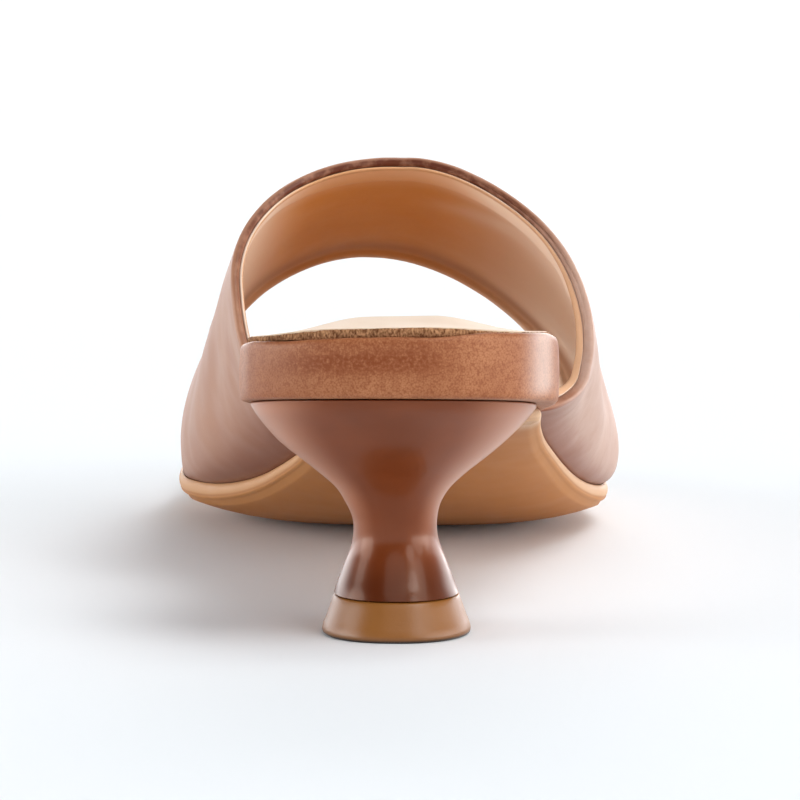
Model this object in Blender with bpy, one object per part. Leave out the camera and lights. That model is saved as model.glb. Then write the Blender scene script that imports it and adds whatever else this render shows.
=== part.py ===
"""Open-toe kitten-heel mule for the right foot, about size 38.

The tables are in millimetres: x runs to the outer (lateral) side of the foot, y from the back of the
heel to the toe and z up from the floor. A section is a cut across the shoe at one y.
"""

import math

import bmesh
import bpy
import numpy as np

MM = 0.001

# Driving dimensions, in millimetres.
LENGTH = 248.0
GAP = 0.3
BED_GAP = 0.45
WALL = 2.8
MARGIN = 7.0
RIM_PROUD = 0.9
RIM_THINNING = 0.9
STEP_RUN = 4.0
BREAST_Y = 57.0
HEEL_AXIS_Y = 33.0
TIP_HEIGHT = 7.0
SOCK = 1.1
SOCK_INSET = 1.7
SEAT_PAD = 3.4
SEAT_LEAN = 0.02
HIND_ROUNDING = (29.0, 2.2)
TOE_ROUNDING = (30.0, 2.5)


def table(columns, *rows):
    """A reader of any named column at any place of the first one, on a smooth curve through the rows."""
    names = columns.split()
    values = np.array(rows, float)
    places = values[:, 0]
    slopes = np.gradient(values, places, axis=0)

    def read(column, at):
        i = names.index(column)
        at = np.clip(at, places[0], places[-1])
        k = np.clip(np.searchsorted(places, at) - 1, 0, len(places) - 2)
        step = places[k + 1] - places[k]
        t = (at - places[k]) / step
        ends = values[k, i] * (1 + 2 * t) * (1 - t) ** 2 + values[k + 1, i] * t * t * (3 - 2 * t)
        return ends + step * t * (1 - t) * (slopes[k, i] * (1 - t) - slopes[k + 1, i] * t)

    return read


# The sole and the last's bottom. edge is the height of the feather edge, where upper and sole meet,
# crown how far the middle hangs below it, and thick the thickness of the sole in its middle.
SOLE = table(
    "y     medial lateral edge  crown thick",
    (0.0,   26.0,  26.4, 47.1, 0.0,  3.6),
    (28.0,  26.0,  26.4, 42.9, 0.0,  3.6),
    (50.0,  24.4,  26.4, 39.2, 0.4,  3.6),
    (75.0,  20.2,  26.2, 33.2, 1.2,  3.6),
    (90.0,  19.4,  26.9, 28.7, 1.8,  3.6),
    (105.0, 20.8,  28.7, 23.9, 2.4,  3.6),
    (120.0, 25.2,  30.9, 19.1, 2.8,  3.8),
    (135.0, 30.2,  33.4, 14.7, 3.2,  4.0),
    (150.0, 36.2,  36.2, 11.2, 3.6,  4.2),
    (165.0, 42.4,  38.6, 9.0,  4.0,  4.4),
    (180.0, 47.6,  38.8, 8.2,  4.2,  4.5),
    (195.0, 48.6,  36.2, 8.7,  4.2,  4.4),
    (210.0, 46.2,  31.2, 10.1, 3.8,  4.2),
    (225.0, 41.0,  24.8, 12.2, 3.2,  4.0),
    (248.0, 31.0,  15.0, 16.0, 2.6,  3.8),
)

# The wrapped board: its outline, its height over the feather edge, and how far its top dishes.
BOARD = table(
    "y     medial lateral rise  dish",
    (0.0,   28.4,  29.7, 11.1, 0.0),
    (28.0,  28.4,  29.7, 11.1, 0.0),
    (45.0,  27.3,  29.0, 10.9, 0.2),
    (60.0,  23.5,  26.6, 10.2, 0.6),
    (75.0,  19.8,  25.2, 9.2,  1.0),
    (90.0,  18.6,  25.2, 8.2,  1.4),
    (105.0, 19.4,  26.2, 7.3,  1.8),
    (120.0, 23.0,  28.0, 6.8,  2.0),
    (135.0, 27.0,  30.0, 6.4,  2.2),
    (150.0, 32.5,  32.3, 6.2,  2.4),
    (165.0, 38.4,  34.5, 6.0,  2.4),
    (180.0, 43.4,  34.7, 6.0,  2.2),
    (195.0, 44.6,  32.1, 6.0,  2.0),
    (210.0, 42.9,  26.6, 5.8,  1.8),
    (225.0, 39.6,  22.0, 5.4,  1.2),
    (248.0, 30.1,  14.1, 4.8,  1.0),
)

# The last above the feather edge: its ridge, and for each side the widest point, the height of that
# point and how full the curve up to the ridge is (0.55 is round, less is flatter).
LAST = table(
    "y     ridge_x ridge_z medial medial_z medial_full lateral lateral_z lateral_full",
    (55.0,   0.5,  98.0,  26.5,  59.0,  0.54,  34.0,  50.0,  0.50),
    (75.0,   0.5,  93.0,  30.5,  57.0,  0.54,  35.9,  47.5,  0.50),
    (90.0,   0.5,  88.5,  33.2,  56.0,  0.54,  36.3,  45.0,  0.50),
    (105.0,  0.0,  84.0,  35.2,  52.0,  0.56,  36.8,  40.0,  0.51),
    (118.0, -1.0,  79.6,  37.2,  45.0,  0.60,  37.3,  35.0,  0.485),
    (135.0, -3.0,  72.6,  40.9,  34.0,  0.55,  38.6,  29.0,  0.48),
    (150.0, -5.0,  66.4,  43.8,  24.0,  0.54,  40.0,  22.0,  0.46),
    (165.0, -7.0,  60.8,  46.3,  18.0,  0.52,  41.2,  17.0,  0.45),
    (180.0, -9.0,  56.2,  47.9,  15.0,  0.51,  40.9,  16.0,  0.43),
    (195.0, -10.5, 52.4,  48.0,  15.0,  0.51,  37.2,  16.0,  0.41),
    (212.0, -12.0, 48.6,  46.2,  16.0,  0.52,  30.8,  17.0,  0.41),
    (225.0, -13.0, 46.0,  43.0,  18.0,  0.52,  25.4,  19.0,  0.41),
)

# Where the band starts (collar) and ends (toe opening), by how far round the section a point lies:
# 0 on the ridge, 0.6 at the widest point and 1 at the feather edge.
EDGES = table(
    "round collar_medial collar_lateral toe_medial toe_lateral",
    (0.0, 118.0, 118.0, 186.5, 186.5),
    (0.1, 116.4, 116.5, 183.4, 186.8),
    (0.2, 114.0, 114.0, 178.6, 188.8),
    (0.3, 109.3, 108.9, 172.0, 193.4),
    (0.4, 103.0, 102.0, 171.0, 200.6),
    (0.5, 95.6,  93.7,  176.5, 210.5),
    (0.6, 88.0,  85.0,  185.5, 218.5),
    (0.8, 76.0,  70.0,  197.0, 226.5),
    (1.0, 70.0,  62.0,  204.0, 229.5),
)
WIDEST = 0.6

# The heel, by height on its axis: half width, reach behind and before the axis, sideways shift, and
# how far the level tilts with the seat.
HEEL = table(
    "z    half  back  front shift tilt",
    (7.3,  11.5, 13.0, 11.6,  0.0, 0.0),
    (8.7,  11.0, 12.4, 11.2, -0.1, 0.0),
    (10.9, 10.2, 11.2, 10.3, -0.1, 0.0),
    (13.2, 9.3,  10.0, 9.3,  -0.1, 0.0),
    (15.4, 8.4,  9.0,  8.5,  -0.1, 0.0),
    (18.4, 7.7,  8.2,  8.1,  -0.2, 0.0),
    (21.2, 7.8,  8.4,  8.3,  -0.3, 0.0),
    (24.1, 8.8,  9.6,  9.2,  -0.6, 0.1),
    (26.9, 10.6, 11.6, 10.6, -0.6, 0.2),
    (29.6, 13.6, 14.4, 12.6, -0.7, 0.35),
    (32.0, 16.7, 17.6, 14.8, -0.7, 0.5),
    (34.6, 20.0, 21.4, 17.4, -0.8, 0.7),
    (37.6, 23.0, 25.4, 21.4, -0.7, 0.85),
    (40.0, 25.0, 28.8, 23.5, -0.6, 0.95),
    (41.4, 26.1, 30.4, 23.9, -0.5, 1.0),
)
HEEL_LEVELS = (7.3, 8.7, 10.9, 13.2, 15.4, 18.4, 21.2, 24.1, 26.9, 29.6, 32.0, 34.6, 37.6, 40.0, 41.4)

# The top piece, from the floor up: height, and size against the bottom of the heel.
TIP_LEVELS = ((0.0, 1.15), (0.6, 1.19), (3.6, 1.09), (TIP_HEIGHT, 1.0))


def ramp(value, start, end):
    """0 before start, 1 after end, and smooth between."""
    t = np.clip((value - start) / (end - start), 0, 1)
    return t * t * (3 - 2 * t)


def across(x, y, width):
    """How far x lies from the middle of a section: -1 at the medial edge, 1 at the lateral one."""
    medial, lateral = width("medial", y), width("lateral", y)
    middle, half = (lateral - medial) / 2, (lateral + medial) / 2
    return np.clip((x - middle) / half, -1, 1)


def bed(x, y):
    """The last's bottom, which is the top of the sole: flat across its middle, rolled up at its edges."""
    return SOLE("edge", y) - SOLE("crown", y) * (1 - across(x, y, SOLE) ** 4)


def tread(x, y):
    """The underside of the sole, level where it meets the floor."""
    thickness = SOLE("thick", y) - RIM_THINNING * across(x, y, SOLE) ** 2
    return np.maximum(bed(x, y) - thickness, 0.0)


def board_top(x, y):
    """The board's face. Its seat leans a little towards the medial side."""
    dish = BOARD("dish", y) * (1 - across(x, y, BOARD) ** 2)
    lean = SEAT_LEAN * x * (1 - ramp(y, 30, 90))
    return SOLE("edge", y) + BOARD("rise", y) - dish + lean


def plan(width, start, end, back, toe, count):
    """A closed outline in plan: from the back up the lateral side, and down the medial one.

    back and toe are the length and the power of the rounding at each end, and count the steps of a side.
    """
    share = np.linspace(0, 1, count + 1)[1:-1]
    # The points crowd towards both ends, where the outline turns.
    ys = start + (end - start) * (share - 0.13 * np.sin(2 * math.pi * share))
    hind = np.clip((start + back[0] - ys) / back[0], 0, 1)
    fore = np.clip((ys - end + toe[0]) / toe[0], 0, 1)
    closing = (1 - hind ** back[1]) ** (1 / back[1]) * (1 - fore ** toe[1]) ** (1 / toe[1])
    medial, lateral = width("medial", ys), width("lateral", ys)
    middle, half = (lateral - medial) / 2, (lateral + medial) / 2 * closing
    right = np.column_stack([middle + half, ys])
    left = np.column_stack([middle - half, ys])[::-1]
    tips = [[((width("lateral", y) - width("medial", y)) / 2, y)] for y in (start, end)]
    return np.concatenate([tips[0], right, tips[1], left])


def inset(ring, distance):
    """The outline moved inwards by a distance."""
    along = np.roll(ring, -1, axis=0) - np.roll(ring, 1, axis=0)
    inwards = np.column_stack([-along[:, 1], along[:, 0]])
    return ring + distance * inwards / np.linalg.norm(inwards, axis=1)[:, None]


def shrink(ring, share):
    """The outline drawn in to a share of its size about the line down its middle."""
    mirror = np.roll(ring[::-1], 1, axis=0)
    middle = (ring + mirror) / 2
    reach = 0.45 * (ring[:, 0].max() - ring[:, 0].min())
    low, high = ring[:, 1].min() + reach, ring[:, 1].max() - reach
    spine = np.column_stack([middle[:, 0], np.clip(ring[:, 1], low, high)])
    return spine + share * (ring - spine)


def lift(ring, height):
    """The outline in space, where height is a function of x and y."""
    return np.column_stack([ring, height(ring[:, 0], ring[:, 1])])


def raised(height, amount):
    return lambda x, y: height(x, y) + amount


def add_rings(bm, rings):
    """Skins a stack of closed rings, and returns their vertices."""
    loops = [[bm.verts.new(point) for point in ring] for ring in rings]
    count = len(loops[0])
    for low, high in zip(loops, loops[1:]):
        for i in range(count):
            j = (i + 1) % count
            bm.faces.new([low[i], low[j], high[j], high[i]])
    return loops


def close_long_ring(bm, loop):
    """Closes a long ring by joining its two sides."""
    middle = len(loop) // 2
    bm.faces.new([loop[0], loop[1], loop[-1]])
    for i in range(1, middle - 1):
        bm.faces.new([loop[i], loop[i + 1], loop[-i - 1], loop[-i]])
    bm.faces.new([loop[middle - 1], loop[middle], loop[middle + 1]])


def plate(bm, under, edge, over):
    """A plate of any shape, as rings from the middle of its underside round the edge to that of its top."""
    loops = add_rings(bm, under + edge + over)
    close_long_ring(bm, loops[0])
    close_long_ring(bm, loops[-1])


INNER_SHARES = (0.25, 0.5, 0.75)


def outsole(bm):
    rim = plan(SOLE, BREAST_Y + GAP, LENGTH, (7.0, 5.0), TOE_ROUNDING, 34)
    inner = inset(rim, 6.0)
    under = [lift(shrink(inner, share), tread) for share in INNER_SHARES]
    under += [lift(inset(rim, distance), tread) for distance in (6.0, 2.6)]
    edge = [
        lift(inset(rim, 0.9), raised(tread, 0.5)),
        lift(rim, lambda x, y: 0.55 * bed(x, y) + 0.45 * tread(x, y)),
        lift(inset(rim, 0.3), raised(bed, -0.5)),
        lift(inset(rim, 0.9), bed),
    ]
    over = [lift(inset(rim, distance), bed) for distance in (3.0, 6.0)]
    over += [lift(shrink(inner, share), bed) for share in reversed(INNER_SHARES)]
    plate(bm, under, edge, over)


def footbed(bm):
    rand = plan(BOARD, 0.0, LENGTH - RIM_PROUD, HIND_ROUNDING, TOE_ROUNDING, 40)
    base = raised(bed, BED_GAP)

    def over_margin(extra):
        """The underside, stepped up where the band's margin is turned in beneath it."""

        def height(x, y):
            lateral = ramp(x, -8, 8)
            start = EDGES("collar_medial", 1.0) * (1 - lateral) + EDGES("collar_lateral", 1.0) * lateral
            end = EDGES("toe_medial", 1.0) * (1 - lateral) + EDGES("toe_lateral", 1.0) * lateral
            covered = ramp(y, start - 2 * STEP_RUN, start - STEP_RUN)
            covered = covered * (1 - ramp(y, end + STEP_RUN, end + 2 * STEP_RUN))
            return base(x, y) + (WALL + BED_GAP) * covered + extra

        return height

    inner = inset(rand, 12.2)
    under = [lift(shrink(inner, share), base) for share in INNER_SHARES]
    under += [lift(inner, base)]
    under += [lift(inset(rand, distance), over_margin(0.0)) for distance in (11.0, 6.0, 2.2)]
    edge = [
        lift(inset(rand, 0.6), over_margin(0.6)),
        lift(rand, over_margin(1.9)),
        lift(rand, raised(board_top, -1.5)),
        lift(inset(rand, 0.4), raised(board_top, -0.4)),
    ]
    over = [lift(inset(rand, distance), board_top) for distance in (1.5, 6.0)]
    inner = inset(rand, 6.0)
    over += [lift(shrink(inner, share), board_top) for share in reversed(INNER_SHARES)]
    plate(bm, under, edge, over)


def insole(bm):
    rand = plan(BOARD, 0.0, LENGTH - RIM_PROUD, HIND_ROUNDING, TOE_ROUNDING, 34)
    cut = inset(rand, SOCK_INSET)
    inner = inset(cut, 5.0)
    underside = raised(board_top, GAP)

    def top(x, y):
        swell = 1 - ramp(abs(across(x, y, BOARD)), 0.2, 0.85)
        return underside(x, y) + SOCK + SEAT_PAD * swell * ramp(y, 2, 30) * (1 - ramp(y, 52, 85))

    under = [lift(shrink(inner, share), underside) for share in INNER_SHARES]
    under += [lift(inner, underside)]
    edge = [lift(cut, underside), lift(inset(cut, 0.2), raised(underside, SOCK))]
    over = [lift(inner, top)]
    over += [lift(shrink(inner, share), top) for share in reversed(INNER_SHARES)]
    plate(bm, under, edge, over)


def bezier(points, shares):
    """The points of a cubic curve at each share of its way."""
    t = np.asarray(shares)[:, None]
    a, b, c, d = (np.asarray(point, float) for point in points)
    return a * (1 - t) ** 3 + b * 3 * t * (1 - t) ** 2 + c * 3 * t * t * (1 - t) + d * t ** 3


WALL_SHARES = np.linspace(0, 1, 11)
BOWL_SHARES = np.linspace(0, 1, 7)
MARGIN_SHARES = np.array([0.5, 1.0])
ROUNDS = np.concatenate(
    [WIDEST * WALL_SHARES, WIDEST + (1 - WIDEST) * BOWL_SHARES[1:], np.ones(len(MARGIN_SHARES))]
)


def half_section(name, y):
    """One side of the upper's outer face at y, as x and z: ridge, widest point, feather edge, margin."""
    side = 1 if name == "lateral" else -1
    ridge = np.array([LAST("ridge_x", y), LAST("ridge_z", y)])
    widest = np.array([side * LAST(name, y), LAST(name + "_z", y)])
    feather_x = side * (SOLE(name, y) - RIM_PROUD)
    feather = np.array([feather_x, bed(feather_x, y) + BED_GAP])
    full = LAST(name + "_full", y)
    reach, drop = widest[0] - ridge[0], ridge[1] - widest[1]
    wall = bezier([ridge, ridge + [full * reach, 0], widest + [0, full * drop], widest], WALL_SHARES)
    out, down = widest - feather
    bowl = bezier(
        [widest, widest - [0, 0.6 * down], feather + [0.68 * out, 0.08 * down], feather], BOWL_SHARES
    )
    margin_x = feather_x - side * MARGIN * MARGIN_SHARES
    margin = np.column_stack([margin_x, bed(margin_x, y) + BED_GAP])
    return np.concatenate([wall, bowl[1:], margin])


def wall_point(name, k, y):
    """The outer and inner points of the wall, k steps round one side at y."""
    side = 1 if name == "lateral" else -1
    path = half_section(name, y)
    along = path[min(k + 1, len(path) - 1)] - path[max(k - 1, 0)]
    if k == 0:
        along = np.array([side, 0.0])
    inwards = side * np.array([along[1], -along[0]]) / np.linalg.norm(along)
    inner = path[k] + WALL * inwards
    return (path[k][0], y, path[k][1]), (inner[0], y, inner[1])


def upper(bm):
    outer, inner = [], []
    for step in np.linspace(0, 1, 19):
        halves = {}
        for name in ("medial", "lateral"):
            collar, toe = EDGES("collar_" + name, ROUNDS), EDGES("toe_" + name, ROUNDS)
            ys = collar + (toe - collar) * step
            halves[name] = [wall_point(name, k, float(y)) for k, y in enumerate(ys)]
        line = halves["medial"][::-1] + halves["lateral"][1:]
        outer.append([bm.verts.new(point[0]) for point in line])
        inner.append([bm.verts.new(point[1]) for point in line])
    lines, count = len(outer), len(outer[0])
    for sheet in (outer, inner):
        for a, b in zip(sheet, sheet[1:]):
            for i in range(count - 1):
                bm.faces.new([a[i], a[i + 1], b[i + 1], b[i]])
    for row in (0, -1):
        for i in range(count - 1):
            bm.faces.new([outer[row][i], outer[row][i + 1], inner[row][i + 1], inner[row][i]])
    for i in (0, -1):
        for row in range(lines - 1):
            bm.faces.new([outer[row][i], outer[row + 1][i], inner[row + 1][i], inner[row][i]])


def heel_level(z, count=36):
    """One level of the heel: oval at its neck, and squarer in front towards the seat."""
    angle = 2 * math.pi * np.arange(count) / count
    cos, sin = np.cos(angle), np.sin(angle)
    in_front = sin > 0
    power = 2 / np.where(in_front, 2.2 + 1.8 * HEEL("tilt", z), 2.2)
    reach = np.where(in_front, HEEL("front", z), HEEL("back", z))
    x = HEEL("shift", z) + HEEL("half", z) * np.sign(cos) * abs(cos) ** power
    y = HEEL_AXIS_Y + reach * np.sign(sin) * abs(sin) ** power
    lean = HEEL("tilt", z) * (SOLE("edge", y) - SOLE("edge", HEEL_AXIS_Y))
    return np.column_stack([x, y, z + lean])


def heel(bm):
    rings = [heel_level(z) for z in HEEL_LEVELS]
    for share in (1.0, 0.7, 0.4):
        seat = rings[len(HEEL_LEVELS) - 1].copy()
        seat[:, :2] = [0, HEEL_AXIS_Y] + share * (seat[:, :2] - [0, HEEL_AXIS_Y])
        seat[:, 2] = bed(seat[:, 0], seat[:, 1]) - 0.05
        rings.append(seat)
    loops = add_rings(bm, rings)
    bm.faces.new(loops[0])
    middle = bm.verts.new((0, HEEL_AXIS_Y, bed(0.0, HEEL_AXIS_Y) - 0.05))
    for a, b in zip(loops[-1], loops[-1][1:] + loops[-1][:1]):
        bm.faces.new([a, b, middle])


def top_piece(bm):
    rings = []
    for z, size in TIP_LEVELS:
        ring = heel_level(HEEL_LEVELS[0])
        ring[:, :2] = [0, HEEL_AXIS_Y] + size * (ring[:, :2] - [0, HEEL_AXIS_Y])
        ring[:, 2] = z
        rings.append(ring)
    loops = add_rings(bm, rings)
    bm.faces.new(loops[0])
    bm.faces.new(loops[-1])


def material(name, colour, roughness):
    made = bpy.data.materials.new(name)
    made.use_nodes = True
    shader = made.node_tree.nodes["Principled BSDF"]
    shader.inputs["Base Color"].default_value = (*colour, 1.0)
    shader.inputs["Roughness"].default_value = roughness
    shader.inputs["Metallic"].default_value = 0.0
    return made


def add_piece(build, shoe, colour, roughness):
    """One closed solid with its own material, in the shoe's frame."""
    bm = bmesh.new()
    build(bm)
    bmesh.ops.recalc_face_normals(bm, faces=bm.faces)
    if bm.calc_volume(signed=True) < 0:
        bmesh.ops.reverse_faces(bm, faces=bm.faces)
    bmesh.ops.scale(bm, vec=(MM, MM, MM), verts=bm.verts)
    name = build.__name__
    mesh = bpy.data.meshes.new(name)
    bm.to_mesh(mesh)
    bm.free()
    mesh.materials.append(material(name, colour, roughness))
    mesh.shade_smooth()
    mesh.set_sharp_from_angle(angle=math.radians(40))
    piece = bpy.data.objects.new(name, mesh)
    piece.parent = shoe
    bpy.context.collection.objects.link(piece)
    return piece


def stand_over_origin(shoe, pieces):
    """Moves the shoe so that the origin lies on the floor under the middle of its box."""
    corners = np.array([corner[:] for piece in pieces for corner in piece.bound_box])
    low, high = corners.min(axis=0), corners.max(axis=0)
    shoe.location = (-(low[0] + high[0]) / 2, -(low[1] + high[1]) / 2, -low[2])


for old in list(bpy.data.objects):
    bpy.data.objects.remove(old)

shoe = bpy.data.objects.new("shoe", None)
bpy.context.collection.objects.link(shoe)
pieces = [
    add_piece(upper, shoe, (0.50, 0.28, 0.20), 0.45),
    add_piece(footbed, shoe, (0.42, 0.20, 0.11), 0.4),
    add_piece(insole, shoe, (0.85, 0.70, 0.55), 0.6),
    add_piece(outsole, shoe, (0.55, 0.30, 0.14), 0.5),
    add_piece(heel, shoe, (0.25, 0.10, 0.05), 0.15),
    add_piece(top_piece, shoe, (0.35, 0.17, 0.07), 0.35),
]
stand_over_origin(shoe, pieces)
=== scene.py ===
"""The finish of an open-toe kitten-heel mule for the right foot.

The tables are in millimetres, as a shoemaker measures: x runs to the outer (lateral) side of the foot,
y from the back of the heel to the toe and z up from the floor. A section is a cut across the shoe at one y.
"""

import math

import bpy
import numpy as np
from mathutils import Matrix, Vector, noise


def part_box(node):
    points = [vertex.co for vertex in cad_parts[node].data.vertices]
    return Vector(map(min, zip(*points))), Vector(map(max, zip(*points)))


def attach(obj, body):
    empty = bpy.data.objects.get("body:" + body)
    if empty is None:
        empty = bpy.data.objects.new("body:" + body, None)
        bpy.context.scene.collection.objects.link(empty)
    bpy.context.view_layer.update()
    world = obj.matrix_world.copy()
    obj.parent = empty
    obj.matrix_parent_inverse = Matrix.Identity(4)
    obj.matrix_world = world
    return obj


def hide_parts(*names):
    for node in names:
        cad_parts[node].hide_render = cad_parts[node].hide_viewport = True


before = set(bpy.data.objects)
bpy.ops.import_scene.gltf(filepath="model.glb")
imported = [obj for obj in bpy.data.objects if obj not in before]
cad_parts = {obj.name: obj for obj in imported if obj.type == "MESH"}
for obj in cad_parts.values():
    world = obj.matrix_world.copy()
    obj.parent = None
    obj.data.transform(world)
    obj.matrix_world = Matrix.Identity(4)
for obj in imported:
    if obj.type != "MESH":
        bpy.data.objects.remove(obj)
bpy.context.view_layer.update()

MM = 0.001

# The shoe's own zero: the middle of the top piece, and the back of the footbed.
TIP_LOW, TIP_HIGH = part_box("top_piece")
ZERO = np.array([(TIP_LOW.x + TIP_HIGH.x) / 2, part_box("footbed")[0].y, 0.0])

# ---------------------------------------------------------------- the last and the sole

LENGTH = 248.0
# The band's wall, and how wide its lasting margin is turned in under the footbed.
WALL, MARGIN = 2.8, 5.0
# A place round the band is 0 on its ridge, WIDEST where the last is widest, 1 at the feather edge, where
# upper and sole meet, and MARGIN_END at the margin's own edge.
WIDEST, MARGIN_SHARE = 0.6, 0.1
MARGIN_END = 1 + MARGIN_SHARE
# The sole's rim: how far it stands out beyond the band, and how much thinner it is than the middle.
RIM_PROUD, RIM_THINNING = 0.9, 0.9
# The sole starts beside the heel's front wall, and the heel stands round an axis this far from the back.
SOLE_START, HEEL_AXIS_Y = 49.0, 33.0
# Cement fills these gaps: band on sole, footbed on sole, and sock on footbed.
BED_GAP, SEAT_GAP, SOCK_GAP = 0.45, 0.12, 0.3
# The sock: its thickness, how far inside the board's outline it is cut, and how high its seat is padded.
SOCK, SOCK_INSET, SEAT_PAD = 1.1, 1.7, 3.4
# How much the seat drops sideways for each millimetre across.
SEAT_LEAN = 0.02
# The roundings of the outlines: how long each is, and its power (2 is an ellipse, more is squarer).
HIND_ROUNDING, TOE_ROUNDING, BREAST_ROUNDING = (29.0, 2.2), (30.0, 2.5), (4.0, 6.0)


def table(columns, *rows):
    """A reader of any named column at any place of the first one, on a smooth curve through the rows."""
    names = columns.split()
    values = np.array(rows, float)
    places = values[:, 0]
    slopes = np.gradient(values, places, axis=0)

    def read(column, at):
        i = names.index(column)
        at = np.clip(at, places[0], places[-1])
        k = np.clip(np.searchsorted(places, at) - 1, 0, len(places) - 2)
        step = places[k + 1] - places[k]
        t = (at - places[k]) / step
        ends = values[k, i] * (1 + 2 * t) * (1 - t) ** 2 + values[k + 1, i] * t * t * (3 - 2 * t)
        return ends + step * t * (1 - t) * (slopes[k, i] * (1 - t) - slopes[k + 1, i] * t)

    return read


# The sole: how far it reaches to each side, the height of the feather edge, how far the middle of the bed
# hangs below that (crown), and how thick the middle is.
SOLE = table(
    "y     medial lateral edge  crown thick",
    (0.0,   26.0,  26.4, 47.1, 0.0,  3.6),
    (28.0,  26.0,  26.4, 42.9, 0.0,  3.6),
    (50.0,  24.4,  26.4, 39.2, 0.4,  3.6),
    (75.0,  20.2,  26.2, 33.2, 1.2,  3.6),
    (90.0,  19.4,  26.9, 28.7, 1.8,  3.6),
    (105.0, 20.8,  28.7, 23.9, 2.4,  3.6),
    (120.0, 25.2,  30.9, 19.1, 2.8,  3.8),
    (135.0, 30.2,  33.4, 14.7, 3.2,  4.0),
    (150.0, 36.2,  36.2, 11.2, 3.6,  4.2),
    (165.0, 42.4,  38.6, 9.0,  4.0,  4.4),
    (180.0, 47.6,  38.8, 8.2,  4.2,  4.5),
    (195.0, 48.6,  36.2, 8.7,  4.2,  4.4),
    (210.0, 46.2,  31.2, 10.1, 3.8,  4.2),
    (225.0, 41.0,  24.8, 12.2, 3.2,  4.0),
    (248.0, 31.0,  15.0, 16.0, 2.6,  3.8),
)

# The wrapped board: its outline, its height over the feather edge, and how far its top dishes.
BOARD = table(
    "y     medial lateral rise  dish",
    (0.0,   28.4,  29.7, 11.1, 0.0),
    (28.0,  28.4,  29.7, 11.1, 0.0),
    (45.0,  27.3,  29.0, 10.9, 0.2),
    (60.0,  23.5,  26.6, 10.2, 0.6),
    (75.0,  19.8,  25.2, 9.2,  1.0),
    (90.0,  18.6,  25.2, 8.2,  1.4),
    (105.0, 19.4,  26.2, 7.3,  1.8),
    (120.0, 23.0,  28.0, 6.8,  2.0),
    (135.0, 27.0,  30.0, 6.4,  2.2),
    (150.0, 32.5,  32.3, 6.2,  2.4),
    (165.0, 38.4,  34.5, 6.0,  2.4),
    (180.0, 43.4,  34.7, 6.0,  2.2),
    (195.0, 44.6,  32.1, 6.0,  2.0),
    (210.0, 42.9,  26.6, 5.8,  1.8),
    (225.0, 39.6,  22.0, 5.4,  1.2),
    (248.0, 30.1,  14.1, 4.8,  1.0),
)

# The last above the feather edge: its ridge, and for each side the widest point, the height of that
# point and how full the curve up to the ridge is (0.55 is round, less is flatter).
LAST = table(
    "y     ridge_x ridge_z medial medial_z medial_full lateral lateral_z lateral_full",
    (55.0,   0.5,  98.0,  26.5,  59.0,  0.54,  34.0,  50.0,  0.50),
    (75.0,   0.5,  93.0,  30.5,  57.0,  0.54,  35.9,  47.5,  0.50),
    (90.0,   0.5,  88.5,  33.2,  56.0,  0.54,  36.3,  45.0,  0.50),
    (105.0,  0.0,  84.0,  35.2,  52.0,  0.56,  36.8,  40.0,  0.51),
    (118.0, -1.0,  79.6,  37.2,  45.0,  0.60,  37.3,  35.0,  0.485),
    (135.0, -3.0,  72.6,  40.9,  34.0,  0.55,  38.6,  29.0,  0.48),
    (150.0, -5.0,  66.4,  43.8,  24.0,  0.54,  40.0,  22.0,  0.46),
    (165.0, -7.0,  60.8,  46.3,  18.0,  0.52,  41.2,  17.0,  0.45),
    (180.0, -9.0,  56.2,  47.9,  15.0,  0.51,  40.9,  16.0,  0.43),
    (195.0, -10.5, 52.4,  48.0,  15.0,  0.51,  37.2,  16.0,  0.41),
    (212.0, -12.0, 48.6,  46.2,  16.0,  0.52,  30.8,  17.0,  0.41),
    (225.0, -13.0, 46.0,  43.0,  18.0,  0.52,  25.4,  19.0,  0.41),
)

# Where the band starts (collar) and ends (toe opening), by the place round it.
EDGES = table(
    "round collar_medial collar_lateral toe_medial toe_lateral",
    (0.0, 118.0, 118.0, 186.5, 186.5),
    (0.1, 116.4, 116.5, 183.4, 186.8),
    (0.2, 114.0, 114.0, 178.6, 188.8),
    (0.3, 109.3, 108.9, 172.0, 193.4),
    (0.4, 103.0, 102.0, 171.0, 200.6),
    (0.5, 95.6,  93.7,  176.5, 210.5),
    (0.6, 88.0,  85.0,  185.5, 218.5),
    (0.8, 76.0,  70.0,  197.0, 226.5),
    (1.0, 70.0,  62.0,  204.0, 229.5),
)

# The heel, by height on its axis: half width, reach behind and before the axis, sideways shift, and
# how far the level tilts with the seat.
HEEL = table(
    "z    half  back  front shift tilt",
    (7.3,  11.5, 13.0, 11.6,  0.0, 0.0),
    (8.7,  11.0, 12.4, 11.2, -0.1, 0.0),
    (10.9, 10.2, 11.2, 10.3, -0.1, 0.0),
    (13.2, 9.3,  10.0, 9.3,  -0.1, 0.0),
    (15.4, 8.4,  9.0,  8.5,  -0.1, 0.0),
    (18.4, 7.7,  8.2,  8.1,  -0.2, 0.0),
    (21.2, 7.8,  8.4,  8.3,  -0.3, 0.0),
    (24.1, 8.8,  9.6,  9.2,  -0.6, 0.1),
    (26.9, 10.6, 11.6, 10.6, -0.6, 0.2),
    (29.6, 13.6, 14.4, 12.6, -0.7, 0.35),
    (32.0, 16.7, 17.6, 14.8, -0.7, 0.5),
    (34.6, 20.0, 21.4, 17.4, -0.8, 0.7),
    (37.6, 23.0, 25.4, 21.4, -0.7, 0.85),
    (40.0, 25.0, 28.8, 23.5, -0.6, 0.95),
    (41.4, 26.1, 30.4, 23.9, -0.5, 1.0),
)
HEEL_FOOT, HEEL_SEAT = 7.3, 41.4


def ramp(value, start, end):
    """0 before start, 1 after end, and smooth between."""
    t = np.clip((value - start) / (end - start), 0, 1)
    return t * t * (3 - 2 * t)


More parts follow.
